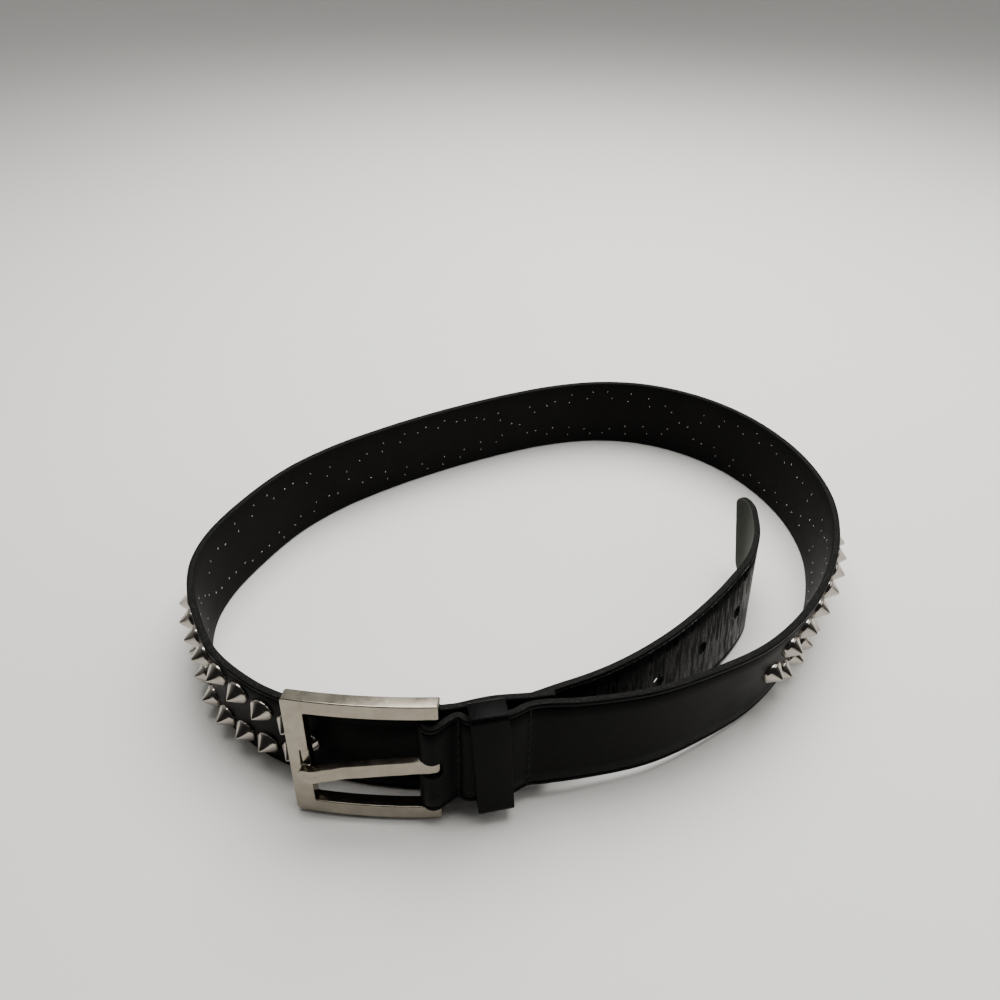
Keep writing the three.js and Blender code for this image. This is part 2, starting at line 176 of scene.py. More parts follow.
def curve_point(rows, share):
    """A point of a centripetal curve through rows, at a share of its spans."""
    last = len(rows) - 1
    place = min(max(share, 0.0), 1.0) * last
    i = min(int(place), last - 1)
    w = place - i
    p1, p2 = rows[i], rows[i + 1]
    p0 = rows[i - 1] if i > 0 else [2 * a - b for a, b in zip(p1, p2)]
    p3 = rows[i + 2] if i + 2 <= last else [2 * b - a for a, b in zip(p1, p2)]
    gap = lambda a, b: sum((u - v) ** 2 for u, v in zip(a, b)) ** 0.25
    d0, d1, d2 = gap(p0, p1), gap(p1, p2), gap(p2, p3)
    d1 = 1.0 if d1 < 1e-4 else d1
    d0 = d1 if d0 < 1e-4 else d0
    d2 = d1 if d2 < 1e-4 else d2
    made = []
    for a, b, c, d in zip(p0, p1, p2, p3):
        t1 = ((b - a) / d0 - (c - a) / (d0 + d1) + (c - b) / d1) * d1
        t2 = ((c - b) / d1 - (d - b) / (d1 + d2) + (d - c) / d2) * d1
        bend = (3 * c - 3 * b - 2 * t1 - t2) * w**2 + (2 * b - 2 * c + t1 + t2) * w**3
        made.append(b + t1 * w + bend)
    return made


def axes_at_share(share):
    """The strap's middle, and its directions up, outward and along, at a share of the route."""
    foot = Vector(curve_point(FEET, share))
    run = Vector((*curve_point(RUNS, share), 0.0))
    up = Vector((run.x, run.y, math.sqrt(max(0.01, 1 - run.length_squared))))
    step = 1e-4
    ahead, behind = curve_point(FEET, share + step), curve_point(FEET, share - step)
    along = Vector((ahead[0] - behind[0], ahead[1] - behind[1], 0.0)).normalized()
    out = along.cross(up).normalized()
    middle = foot + Vector((0, 0, STRAP_WIDTH / 2 * up.z + STRAP_THICK / 2 * run.length))
    return middle, up, out, up.cross(out)


STEPS = (len(FEET) - 1) * STEPS_PER_ROW
LENGTHS = [0.0]
here = axes_at_share(0.0)[0]
for i in range(1, STEPS + 1):
    there = axes_at_share(i / STEPS)[0]
    LENGTHS.append(LENGTHS[-1] + (there - here).length)
    here = there
# The length along the strap at each row, from the turned-back end.
ROW_LENGTHS = LENGTHS[::STEPS_PER_ROW]
STRAP_LENGTH = LENGTHS[-1]
FRONT_OF_BAR = ROW_LENGTHS[len(TURNED_BACK) + len(FOLD_TURNS) - 1]
known_axes = {}


def strap_axes(length):
    """The strap's axes at a length in mm from its turned-back end."""
    key = round(length, 3)
    if key not in known_axes:
        low, high = 0, STEPS
        while high - low > 1:
            half = (low + high) // 2
            low, high = (half, high) if LENGTHS[half] <= length else (low, half)
        part = (length - LENGTHS[low]) / (LENGTHS[high] - LENGTHS[low])
        known_axes[key] = axes_at_share((low + part) / STEPS)
    return known_axes[key]


def lay(obj):
    """Lays a flat piece (x along, z across, front towards -y) on the strap's route."""
    for v in obj.data.vertices:
        middle, up, out, along = strap_axes(v.co.x / MM)
        v.co = (middle * MM) + up * v.co.z - out * v.co.y
    obj.data.update()


def start_clean():
    """Leaves edit mode and deselects everything before a new piece."""
    if bpy.context.object and bpy.context.object.mode != "OBJECT":
        bpy.ops.object.mode_set(mode="OBJECT")
    bpy.ops.object.select_all(action="DESELECT")


def make_active(obj):
    """Selects one piece and makes it the active one."""
    start_clean()
    obj.select_set(True)
    bpy.context.view_layer.objects.active = obj


def edit_mode():
    bpy.ops.object.mode_set(mode="EDIT")


def object_mode():
    bpy.ops.object.mode_set(mode="OBJECT")


def pick(kind, wanted):
    """In edit mode, selects the faces, edges or corners that pass the test."""
    bpy.ops.mesh.select_mode(type=kind)
    bpy.ops.mesh.select_all(action="DESELECT")
    mesh = bpy.context.object.data
    shape = bmesh.from_edit_mesh(mesh)
    for part in {"FACE": shape.faces, "EDGE": shape.edges, "VERT": shape.verts}[kind]:
        if wanted(part):
            part.select_set(True)
    bmesh.update_edit_mesh(mesh)


def edge_span(edge, axis):
    """How far an edge runs along an axis, in mm."""
    return abs(edge.verts[0].co[axis] - edge.verts[1].co[axis]) / MM


def slice_across(place, normal):
    """Cuts a new row of edges through the whole piece, at a place in mm."""
    bpy.ops.mesh.select_all(action="SELECT")
    bpy.ops.mesh.bisect(plane_co=[p * MM for p in place], plane_no=normal, threshold=1e-7)


def round_picked(radius, segments):
    """Rounds the picked edges to a radius in mm."""
    bpy.ops.mesh.bevel(offset=radius * MM, segments=segments, affect="EDGES")


def pull(x, y, z):
    """Pulls the picked face out by mm."""
    bpy.ops.mesh.extrude_region_move(TRANSFORM_OT_translate={"value": (x * MM, y * MM, z * MM)})


def block(name, size, centre=(0, 0, 0)):
    """A box of size mm, the start of a piece, with its place in its mesh."""
    start_clean()
    bpy.ops.mesh.primitive_cube_add(size=1, location=[c * MM for c in centre], scale=[s * MM for s in size])
    bpy.ops.object.transform_apply(location=True, rotation=True, scale=True)
    bpy.context.object.name = name
    return bpy.context.object


def rod(name, radius, length, axis, centre=(0, 0, 0), sides=24):
    """A round bar of mm sizes along an axis."""
    start_clean()
    turn = {"X": (0, math.pi / 2, 0), "Y": (math.pi / 2, 0, 0), "Z": (0, 0, 0)}[axis]
    bpy.ops.mesh.primitive_cylinder_add(
        vertices=sides,
        radius=radius * MM,
        depth=length * MM,
        location=[c * MM for c in centre],
        rotation=turn,
    )
    bpy.ops.object.transform_apply(location=True, rotation=True, scale=True)
    bpy.context.object.name = name
    return bpy.context.object


def apply_modifier(obj, kind, **settings):
    """Adds a modifier with its settings and applies it."""
    make_active(obj)
    made = obj.modifiers.new(kind.lower(), kind)
    for name, value in settings.items():
        setattr(made, name, value)
    bpy.ops.object.modifier_apply(modifier=made.name)


def round_sharp_edges(obj, radius, segments):
    """Rounds every edge sharper than 50 degrees to a radius in mm."""
    angle = {"limit_method": "ANGLE", "angle_limit": math.radians(50)}
    apply_modifier(obj, "BEVEL", width=radius * MM, segments=segments, **angle)


def cut_away(obj, tool, operation="DIFFERENCE"):
    """Cuts a tool out of a piece, or joins it to the piece, and discards the tool."""
    apply_modifier(obj, "BOOLEAN", object=tool, operation=operation, solver="EXACT")
    bpy.data.objects.remove(tool)


def smooth(obj, degrees):
    """Smooth shading, with edges sharper than the angle left crisp."""
    make_active(obj)
    bpy.ops.object.shade_smooth_by_angle(angle=math.radians(degrees))


def join(parts, name):
    """Joins finished copies into one piece."""
    start_clean()
    for part in parts:
        part.select_set(True)
    bpy.context.view_layer.objects.active = parts[0]
    bpy.ops.object.join()
    parts[0].name = name
    return parts[0]


def keep_flat_places(obj):
    """Stores where each corner lies before the piece is laid, for the leather's patterns."""
    kept = obj.data.attributes.new("flat", "FLOAT_VECTOR", "POINT")
    for i, v in enumerate(obj.data.vertices):
        kept.data[i].vector = v.co


strap = block("leather_strap", (STRAP_LENGTH, STRAP_THICK, STRAP_WIDTH), (STRAP_LENGTH / 2, 0, 0))
tip_x = STRAP_LENGTH * MM
edit_mode()
pick("EDGE", lambda e: all(v.co.x > tip_x - 1e-6 for v in e.verts) and edge_span(e, 2) < 0.001)
round_picked(TIP_CORNER, 10)
pick("EDGE", lambda e: edge_span(e, 1) < 0.001)
round_picked(EDGE_ROUND, 3)
# The creased line is pressed into the front, which is the one large face towards -y.
LARGE_FACE = 0.01
pick("FACE", lambda f: f.normal.y < -0.99 and f.calc_area() > LARGE_FACE)
bpy.ops.mesh.inset(thickness=(CREASE_FROM_EDGE - EDGE_ROUND) * MM, depth=0)
bpy.ops.mesh.inset(thickness=CREASE_HALF * MM, depth=-CREASE_DEEP * MM)
bpy.ops.mesh.inset(thickness=CREASE_HALF * MM, depth=CREASE_DEEP * MM)
object_mode()
# Each hole is cut with a punch that widens at both faces, as the leather's lip pulls in.
flare = (HOLE_RADIUS + 2 * HOLE_LIP) / HOLE_RADIUS
for i in range(HOLE_COUNT):
    at = STRAP_LENGTH - HOLE_FROM_TIP - i * HOLE_PITCH
    punch = rod("punch", HOLE_RADIUS, STRAP_THICK - 2 * HOLE_LIP, "Y", (at, 0, 0), 28)
    edit_mode()
    for side in (-1, 1):
        pick("FACE", lambda f: f.normal.y * side > 0.99)
        pull(0, side * 2 * HOLE_LIP, 0)
        bpy.ops.transform.resize(value=[flare, 1, flare], center_override=(at * MM, 0, 0))
    object_mode()
    cut_away(strap, punch)
# The slot lets the prong's eye out of the fold, with round ends.
slot = block("slot_cutter", SLOT_SIZE, (FRONT_OF_BAR - SLOT_BACK, 0, 0))
edit_mode()
pick("EDGE", lambda e: edge_span(e, 1) > 5)
round_picked(SLOT_CORNER, 6)
object_mode()
cut_away(strap, slot)
# Rows and columns let the flat strap follow its route, closer together round the bar.
ROW_GAP, FOLD_ROW_GAP = 2.2, 0.8
FOLD_ROWS_FROM, FOLD_ROWS_TO = 30, 66
make_active(strap)
edit_mode()
bpy.ops.mesh.select_mode(type="VERT")
place = 2.0
while place < STRAP_LENGTH - 1:
    slice_across((place, 0, 0), (1, 0, 0))
    place += FOLD_ROW_GAP if FOLD_ROWS_FROM < place < FOLD_ROWS_TO else ROW_GAP
for height in (-12, -6, 0, 6, 12):
    slice_across((0, 0, height), (0, 0, 1))
object_mode()
keep_flat_places(strap)
# The waxed end starts behind the front layer, so where the two finishes meet doesn't show.
WAXED_FROM_TIP = 186
GRAIN, FLESH, CUT, WAXED = range(4)
for face in strap.data.polygons:
    front = WAXED if face.center.x > (STRAP_LENGTH - WAXED_FROM_TIP) * MM else GRAIN
    face.material_index = front if face.normal.y < -0.6 else FLESH if face.normal.y > 0.6 else CUT
lay(strap)
smooth(strap, 40)


def to_linear(code):
    """An sRGB hex colour as linear red, green, blue and alpha."""
    shares = [int(code[i : i + 2], 16) / 255 for i in (1, 3, 5)]
    return [s / 12.92 if s <= 0.04045 else ((s + 0.055) / 1.055) ** 2.4 for s in shares] + [1.0]


def new_material(name):
    """An empty material and its node tree."""
    made = bpy.data.materials.new(name)
    made.use_nodes = True
    made.node_tree.nodes.clear()
    return made, made.node_tree


def add_node(tree, kind, settings=None, sockets=None):
    """One shader node with its settings; each socket takes a value or another node's output."""
    made = tree.nodes.new("ShaderNode" + kind)
    for name, value in (settings or {}).items():
        if name == "stops":
            ends = made.color_ramp.elements
            ends[0].position, ends[0].color = value[0]
            ends[1].position, ends[1].color = value[-1]
            for place, shade in value[1:-1]:
                ends.new(place).color = shade
        else:
            setattr(made, name, value)
    for name, value in (sockets or {}).items():
        if isinstance(value, bpy.types.NodeSocket):
            tree.links.new(value, made.inputs[name])
        else:
            made.inputs[name].default_value = value
    return made


def flat_millimetres(tree):
    """Where a spot lay before its piece was laid on the route, in mm."""
    flat = add_node(tree, "Attribute", {"attribute_name": "flat"}).outputs["Vector"]
    return add_node(tree, "VectorMath", {"operation": "SCALE"}, {0: flat, "Scale": 1 / MM}).outputs[0]


def object_millimetres(tree):
    """The object coordinates in mm."""
    place = add_node(tree, "TexCoord").outputs["Object"]
    return add_node(tree, "VectorMath", {"operation": "SCALE"}, {0: place, "Scale": 1 / MM}).outputs[0]


def stretched(tree, place, factors):
    """Coordinates scaled by a factor for each axis."""
    return add_node(tree, "VectorMath", {"operation": "MULTIPLY"}, {0: place, 1: factors}).outputs[0]


def part_of(tree, place, axis):
    """One coordinate of a place."""
    return add_node(tree, "SeparateXYZ", None, {0: place}).outputs[axis]


def noise(tree, place, scale, detail, roughness=0.5):
    """Cloudy noise from 0 to 1, with clouds about 1 / scale across."""
    sockets = {"Vector": place, "Scale": scale, "Detail": detail, "Roughness": roughness}
    return add_node(tree, "TexNoise", None, sockets).outputs[0]


def shades(tree, value, *stops):
    """A colour picked by a value from sRGB shades at given stops."""
    coded = [(place, to_linear(code)) for place, code in stops]
    return add_node(tree, "ValToRGB", {"stops": coded}, {0: value}).outputs[0]


def mapped(tree, value, low, high, to_low, to_high):
    """A value between low and high as one between to_low and to_high."""
    sockets = {0: value, 1: low, 2: high, 3: to_low, 4: to_high}
    return add_node(tree, "MapRange", None, sockets).outputs[0]


def soft_step(tree, value, low, high):
    """0 below low, 1 above high, with soft ends."""
    settings = {"interpolation_type": "SMOOTHSTEP"}
    return add_node(tree, "MapRange", settings, {0: value, 1: low, 2: high}).outputs[0]


def reckon(tree, operation, a, b):
    return add_node(tree, "Math", {"operation": operation}, {0: a, 1: b}).outputs[0]


def surface(tree, colour, roughness, relief=None, **constants):
    """The material's skin; relief is a height value, its strength, and its depth in mm."""
    sockets = {"Base Color": colour, "Roughness": roughness}
    if relief:
        height, strength, depth = relief
        bump = add_node(tree, "Bump", None, {"Strength": strength, "Distance": depth * MM, "Height": height})
        sockets["Normal"] = bump.outputs[0]
    for name, value in constants.items():
        sockets[{"metallic": "Metallic", "specular": "Specular IOR Level"}[name]] = value
    body = add_node(tree, "BsdfPrincipled", None, sockets)
    add_node(tree, "OutputMaterial", None, {"Surface": body.outputs[0]})


# Black bridle leather, grain side, waxed and polished: near-black with a soft sheen that the
# fine pebble grain breaks up. Pores 0.7 mm apart are drawn a little coarser than the real ones.
# The free end is waxed more, so it is the same hide with a stronger sheen, and its finish has
# wrinkled across the width: dull dark lines 0.5 to 2 mm apart.
WRINKLES_FROM_TIP = (190, 110)
WRINKLES_END = (22, 50)
grain_finishes = []
for name, sheen in (("black_cowhide_grain_polished", 0.04), ("black_cowhide_grain_waxed", 0.1)):
    grain, tree = new_material(name)
    flat_mm = flat_millimetres(tree)
    from_end = part_of(tree, flat_mm, 0)
    pore_sockets = {"Vector": flat_mm, "Scale": 1.4, "Randomness": 1.0}
    pores = add_node(tree, "TexVoronoi", {"feature": "F1"}, pore_sockets).outputs[0]
    cloudy = noise(tree, flat_mm, 0.06, 4.0, 0.6)
    wrinkle = noise(tree, stretched(tree, flat_mm, (0.5, 0.05, 0.045)), 1.0, 5.0, 0.75)
    streak = soft_step(tree, wrinkle, 0.44, 0.53)
    begin = soft_step(tree, from_end, *(STRAP_LENGTH - s for s in WRINKLES_FROM_TIP))
    stop = soft_step(tree, from_end, *(STRAP_LENGTH - s for s in WRINKLES_END))
    worn = reckon(tree, "MULTIPLY", begin, stop)
    streaked = reckon(tree, "MULTIPLY", worn, streak)
    shade = shades(tree, cloudy, (0.3, "#040404"), (0.7, "#0b0a0a"))
    mixed = {0: streaked, 6: shade, 7: to_linear("#020202")}
    colour = add_node(tree, "Mix", {"data_type": "RGBA"}, mixed).outputs[2]
    gloss = mapped(tree, cloudy, 0.3, 0.7, 0.34, 0.44)
    number = {"data_type": "FLOAT"}
    gloss_tail = add_node(tree, "Mix", number, {0: worn, 2: gloss, 3: 0.22}).outputs[0]
    gloss_worn = add_node(tree, "Mix", number, {0: streaked, 2: gloss_tail, 3: 0.6}).outputs[0]
    height = reckon(tree, "ADD", pores, reckon(tree, "MULTIPLY", streaked, -1.6))
    surface(tree, colour, gloss_worn, (height, 0.16, 0.3), specular=sheen)
    grain_finishes.append(grain)
grain_side, waxed_end = grain_finishes

# Flesh side of the same hide, dyed and burnished: a flat near-black with a faint nap, and a painted sheen
# that lightens it at the tip, where grazing light catches it. Fibres lie 0.3 to 0.6 mm apart.
flesh_side, tree = new_material("black_cowhide_flesh_burnished")
flat_mm = flat_millimetres(tree)
nap = noise(tree, flat_mm, 1.6, 3.0, 0.7)
patch = noise(tree, flat_mm, 0.05, 3.0)
mixed = reckon(tree, "MULTIPLY", reckon(tree, "ADD", nap, patch), 0.5)
dyed = shades(tree, mixed, (0.3, "#070606"), (0.75, "#100f0f"))
# Painted sheen: the flesh side is drawn lighter near the tip, standing in for grazing light.
painted_tip_sheen = shades(tree, nap, (0.3, "#353632"), (0.75, "#4a4b46"))
tip_sheen_mask = soft_step(tree, part_of(tree, flat_mm, 0), STRAP_LENGTH - 50, STRAP_LENGTH - 28)
blend = add_node(tree, "Mix", {"data_type": "RGBA"}, {0: tip_sheen_mask, 6: dyed, 7: painted_tip_sheen}).outputs[2]
surface(tree, blend, 0.6, (nap, 0.25, 0.2), specular=0.06)

# Cut edge of the hide, dyed but not painted: dark grey, dry and fibrous, with paler specks
# of fibre 0.3 to 0.8 mm long, drawn slightly coarse so that they show.
cut_edge, tree = new_material("black_cowhide_cut_edge_raw")
fibre = noise(tree, stretched(tree, flat_millimetres(tree), (0.7, 1.6, 1.0)), 1.5, 5.0, 0.75)
speck = shades(tree, fibre, (0.38, "#080807"), (0.55, "#121211"), (0.7, "#33342f"))
surface(tree, speck, 0.8, (fibre, 0.6, 0.3), specular=0.1)

for finish in (grain_side, flesh_side, cut_edge, waxed_end):
    strap.data.materials.append(finish)
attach(strap, "belt")
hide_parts("studded_strap")

# The studs: 103 pressed brass cones, 9.5 mm across and 5.2 mm high, plated with bright nickel.
# Two wavy rows cross every 97 mm. Each cone has a short upright rim, a round shoulder, a tip.
# The outline is radius and height in mm. The columns are along, as a share of the pattern,
# and off the strap's middle, as a share of its width.
STUD_OUTLINE = [
    (4.75, -0.3), (4.75, 0.6), (4.62, 0.95), (4.3, 1.3), (3.9, 1.6), (0.75, 4.75), (0.4, 5.05), (0.12, 5.18),
]
STUD_SIDES = 22
STUD_COLUMNS = [
    (0, 0), (0.1, 0.195), (0.214, 0.24), (0.329, 0.285), (0.443, 0.315),
    (0.557, 0.315), (0.671, 0.285), (0.786, 0.24), (0.9, 0.195),
]
PATTERN = 97.0
PATTERN_COUNT = 6
FIRST_STUD = FRONT_OF_BAR + 135.0
LAST_STUD_BACK = 3.6


def seat(length, off, depth, turn, axis):
    """The matrix that seats a piece on the strap: mm along it, up from its middle, and outward."""
    middle, up, out, along = strap_axes(length)
    basis = Matrix((along, -out, up)).transposed().to_4x4()
    return Matrix.Translation((middle + up * off + out * depth) * MM) @ basis @ Matrix.Rotation(turn, 4, axis)


def seated_copy(original, place):
    """A copy of a piece, moved by a matrix."""
    copy = original.copy()
    copy.data = original.data.copy()
    bpy.context.scene.collection.objects.link(copy)
    copy.data.transform(place)
    return copy


start_clean()
rim_radius, rim_height = STUD_OUTLINE[0]
bpy.ops.mesh.primitive_circle_add(
    vertices=STUD_SIDES, radius=rim_radius * MM, fill_type="NGON", location=(0, 0, rim_height * MM)
)
bpy.ops.object.transform_apply(location=True, rotation=True, scale=True)
stud = bpy.context.object
edit_mode()
bpy.ops.mesh.select_mode(type="FACE")
for (r0, h0), (r1, h1) in zip(STUD_OUTLINE, STUD_OUTLINE[1:]):
    pull(0, 0, h1 - h0)
    bpy.ops.transform.resize(value=(r1 / r0, r1 / r0, 1), center_override=(0, 0, 0))
bpy.ops.mesh.select_all(action="SELECT")
bpy.ops.mesh.normals_make_consistent(inside=False)
object_mode()
smooth(stud, 42)

# Bright nickel plate on a pressed cone: a warm grey mirror, dulled by handling in clouds
# about 3 mm across.
stud_nickel, tree = new_material("nickel_plate_bright")
place_mm = object_millimetres(tree)
dull = noise(tree, place_mm, 0.35, 4.0, 0.65)
tint = shades(tree, dull, (0.3, "#97918a"), (0.7, "#a7a198"))
fine = noise(tree, place_mm, 1.2, 2.0)
surface(tree, tint, mapped(tree, dull, 0.3, 0.7, 0.07, 0.16), (fine, 0.08, 0.2), metallic=1.0)
stud.data.materials.append(stud_nickel)

stud_places = []
for p in range(PATTERN_COUNT):
    for share, off in STUD_COLUMNS:
        for side in (1, -1) if off else (1,):
            stud_places.append((FIRST_STUD + (p + share) * PATTERN, side * off * STRAP_WIDTH))
stud_places.append((FIRST_STUD + PATTERN_COUNT * PATTERN - LAST_STUD_BACK, 0.0))
copies = [seated_copy(stud, seat(s, off, STRAP_THICK / 2, math.pi / 2, "X")) for s, off in stud_places]
bpy.data.objects.remove(stud)
studs = join(copies, "cone_studs")
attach(studs, "belt")
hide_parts("studded_strap")

# The tines: each stud holds by two prongs pushed through the strap and folded flat behind it.
# Only their folded tips show on the flesh side, 5 mm apart, turned at random.
TINE_SIZE = (0.9, 0.35, 0.5)
TINE_FROM_MIDDLE = 2.5
TINE_SUNK = 0.03
tine = block("tine", TINE_SIZE)
apply_modifier(tine, "BEVEL", width=0.12 * MM, segments=1)
smooth(tine, 60)
tine.data.materials.append(stud_nickel)
turns = random.Random(7)
copies = []
for s, off in stud_places:
    turn = turns.uniform(0, math.pi)
    for side in (-1, 1):
        at = s + side * TINE_FROM_MIDDLE * math.cos(turn)
        height = off + side * TINE_FROM_MIDDLE * math.sin(turn)
        copies.append(seated_copy(tine, seat(at, height, TINE_SUNK - STRAP_THICK / 2, turn, "Y")))
bpy.data.objects.remove(tine)
tines = join(copies, "stud_tines")
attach(tines, "belt")

# The seams: two rows of waxed black thread across the strap that close the turned-back end,
# one on each side of the keeper, in stitches 4 mm long that dip into the leather. Each seam
# has the row of the route where it shows in front, and the row where it shows behind.
SEAM_ROWS = [(11, 5), (15, 1)]
STITCH_COUNT = 9
STITCH_PITCH = 4.1
STITCH_RADIUS = 0.42
STITCH_STRETCH = (1, 0.8, 4.6)
STITCH_SUNK = 0.1
STITCH_SLANT = math.radians(5)
start_clean()
bpy.ops.mesh.primitive_uv_sphere_add(segments=8, ring_count=6, radius=STITCH_RADIUS * MM)
stitch = bpy.context.object
bpy.ops.object.transform_apply(location=True, rotation=True, scale=True)
edit_mode()
bpy.ops.mesh.select_all(action="SELECT")
bpy.ops.transform.resize(value=STITCH_STRETCH, center_override=(0, 0, 0))
object_mode()
smooth(stitch, 80)
# Waxed linen thread: near-black, with plies drawn as slanted bands about 0.5 mm apart, which
# break up its faint sheen.
thread, tree = new_material("black_thread_waxed")
ply_settings = {"wave_type": "BANDS", "bands_direction": "DIAGONAL"}
ply_sockets = {"Vector": object_millimetres(tree), "Scale": 0.9, "Distortion": 0.4}
ply = add_node(tree, "TexWave", ply_settings, ply_sockets).outputs[0]
surface(tree, shades(tree, ply, (0.0, "#040404"), (1.0, "#0e0e0e")), 0.6, (ply, 0.5, 0.2), specular=0.15)
stitch.data.materials.append(thread)
copies = []
for rows in SEAM_ROWS:
    for row in rows:
        for i in range(STITCH_COUNT):
            off = (i - (STITCH_COUNT - 1) / 2) * STITCH_PITCH
            place = seat(ROW_LENGTHS[row], off, STRAP_THICK / 2 - STITCH_SUNK, STITCH_SLANT, "Y")
            copies.append(seated_copy(stitch, place))
bpy.data.objects.remove(stitch)
stitches = join(copies, "seam_stitches")
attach(stitches, "belt")

# The keeper: a band of the same leather, 12.5 mm wide and 2.1 mm thick, closed to a ring
# round the front layer; its back runs between the two layers, so the seams hold it there.
KEEPER_LENGTH, KEEPER_THICK = 12.5, 2.1
KEEPER_DEPTH, KEEPER_HEIGHT = 9.5, 44.8
KEEPER_CORNER, KEEPER_INNER_CORNER = 2.0, 0.8
KEEPER_ROW = 13
KEEPER_BACK_GAP = 0.6
KEEPER_RISE = 0.4
KEEPER_TILT = math.radians(-3.5)


def rounded_block(name, size, corner, segments):
    """A block whose four edges along x are rounded."""
    made = block(name, size)
    edit_mode()
    pick("EDGE", lambda e: edge_span(e, 0) > 5)
    round_picked(corner, segments)
    object_mode()
    return made


keeper = rounded_block("keeper_loop", (KEEPER_LENGTH, KEEPER_DEPTH, KEEPER_HEIGHT), KEEPER_CORNER, 5)
core_size = (2 * KEEPER_LENGTH, KEEPER_DEPTH - 2 * KEEPER_THICK, KEEPER_HEIGHT - 2 * KEEPER_THICK)
cut_away(keeper, rounded_block("keeper_core", core_size, KEEPER_INNER_CORNER, 3))
round_sharp_edges(keeper, 0.4, 2)
make_active(keeper)
edit_mode()
for height in range(-20, 24, 4):
    slice_across((0, 0, height), (0, 0, 1))
object_mode()
keep_flat_places(keeper)
# The inner faces are those more than this far inside the ring's outer faces.
INNER_FROM = 1.2
for face in keeper.data.polygons:
    inside_depth = abs(face.center.y) < (KEEPER_DEPTH / 2 - INNER_FROM) * MM
    inner = inside_depth and abs(face.center.z) < (KEEPER_HEIGHT / 2 - INNER_FROM) * MM
    face.material_index = CUT if abs(face.normal.x) > 0.7 else FLESH if inner else GRAIN
outward = KEEPER_DEPTH / 2 - STRAP_THICK / 2 - KEEPER_BACK_GAP - KEEPER_THICK
keeper.data.transform(seat(ROW_LENGTHS[KEEPER_ROW], KEEPER_RISE, outward, KEEPER_TILT, "Y"))
smooth(keeper, 40)
for finish in (grain_side, flesh_side, cut_edge):
    keeper.data.materials.append(finish)
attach(keeper, "belt")
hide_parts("keeper")

# The buckle's frame: zinc cast in one piece, polished and nickel plated. Three sides of a flat
# arched square, with a wide end bar that is notched for the prong, and a bar for the strap.
# It is modelled with the hinge bar along z at its zero, then moved to HINGE_AT and leant.
HINGE_AT = Vector((-33.386, -106.065, 25.924))
BUCKLE = (
    Matrix.Translation(HINGE_AT * MM)
    @ Matrix.Rotation(BUCKLE_YAW, 4, "Z")
    @ Matrix.Rotation(-BUCKLE_LEAN, 4, "X")
)
FRAME_LENGTH, FRAME_HEIGHT, FRAME_DEPTH = 51.1, 52.0, 4.8
END_BAR, RAIL, BULGE, FRAME_RIGHT = 7.2, 5.7, 1.4, 2.6
FRAME_LEFT = FRAME_RIGHT - FRAME_LENGTH
OPENING_LEFT, OPENING_TOP = FRAME_LEFT + END_BAR, FRAME_HEIGHT / 2 - RAIL
NOTCH_SIZE = (6, 6.4, 6.8)
NOTCH_FORWARD = 4.8
# Columns let the flat frame arch. They keep clear of the notch, from the end bar's outer side.
COLUMNS = [2.4, 5.7] + [9.2 + 2.42 * i for i in range(17)]
casting = block("frame_casting", (END_BAR, FRAME_DEPTH, FRAME_HEIGHT), (FRAME_LEFT + END_BAR / 2, 0, 0))
edit_mode()
for side in (-1, 1):
    slice_across((0, 0, side * OPENING_TOP), (0, 0, 1))
pick("FACE", lambda f: f.normal.x > 0.9 and abs(f.calc_center_median().z) > OPENING_TOP * MM)
pull(FRAME_LENGTH - END_BAR, 0, 0)


def pick_uprights(wanted):
    """Picks the edges through the frame's depth whose x and z, in mm, pass the test."""
    corner = lambda e: (e.verts[0].co.x / MM, abs(e.verts[0].co.z) / MM)
    pick("EDGE", lambda e: edge_span(e, 1) > 4 and wanted(*corner(e)))


pick_uprights(lambda x, z: x < FRAME_LEFT + 1 and z > OPENING_TOP + 1)
round_picked(1.7, 5)
pick_uprights(lambda x, z: x > FRAME_RIGHT - 1)
round_picked(0.6, 3)
pick_uprights(lambda x, z: abs(x - OPENING_LEFT) < 0.001 and abs(z - OPENING_TOP) < 0.001)
round_picked(0.7, 3)
object_mode()
cut_away(casting, block("notch_cutter", NOTCH_SIZE, (OPENING_LEFT, -NOTCH_FORWARD, 0)))
make_active(casting)
edit_mode()
for column in COLUMNS:
    slice_across((FRAME_LEFT + column, 0, 0), (1, 0, 0))
object_mode()
for v in casting.data.vertices:
    share = (v.co.x / MM - FRAME_LEFT) / (FRAME_LENGTH / 2) - 1
    v.co.y -= BULGE * (1 - share**2) * MM
round_sharp_edges(casting, 0.62, 3)
hinge = rod("hinge_bar", BAR_RADIUS, FRAME_HEIGHT - RAIL, "Z", sides=32)
casting = join([casting, hinge], "frame_casting")
casting.data.transform(BUCKLE)
smooth(casting, 40)
apply_modifier(casting, "WEIGHTED_NORMAL", keep_sharp=True)

# Nickel plate over polished zinc: a warm grey, nearly mirror surface, clouded by fine wear.
# The clouding is 2 to 6 mm across and only shows in how sharp the reflections are.
plate, tree = new_material("nickel_plate_on_polished_zinc")
place_mm = object_millimetres(tree)
dull = noise(tree, place_mm, 0.22, 5.0, 0.65)
tint = shades(tree, dull, (0.3, "#857e72"), (0.7, "#979083"))
fine = noise(tree, place_mm, 0.8, 3.0)
surface(tree, tint, mapped(tree, dull, 0.3, 0.7, 0.12, 0.21), (fine, 0.02, 0.2), metallic=1.0)
casting.data.materials.clear()
casting.data.materials.append(plate)
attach(casting, "frame")
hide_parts("buckle_frame")

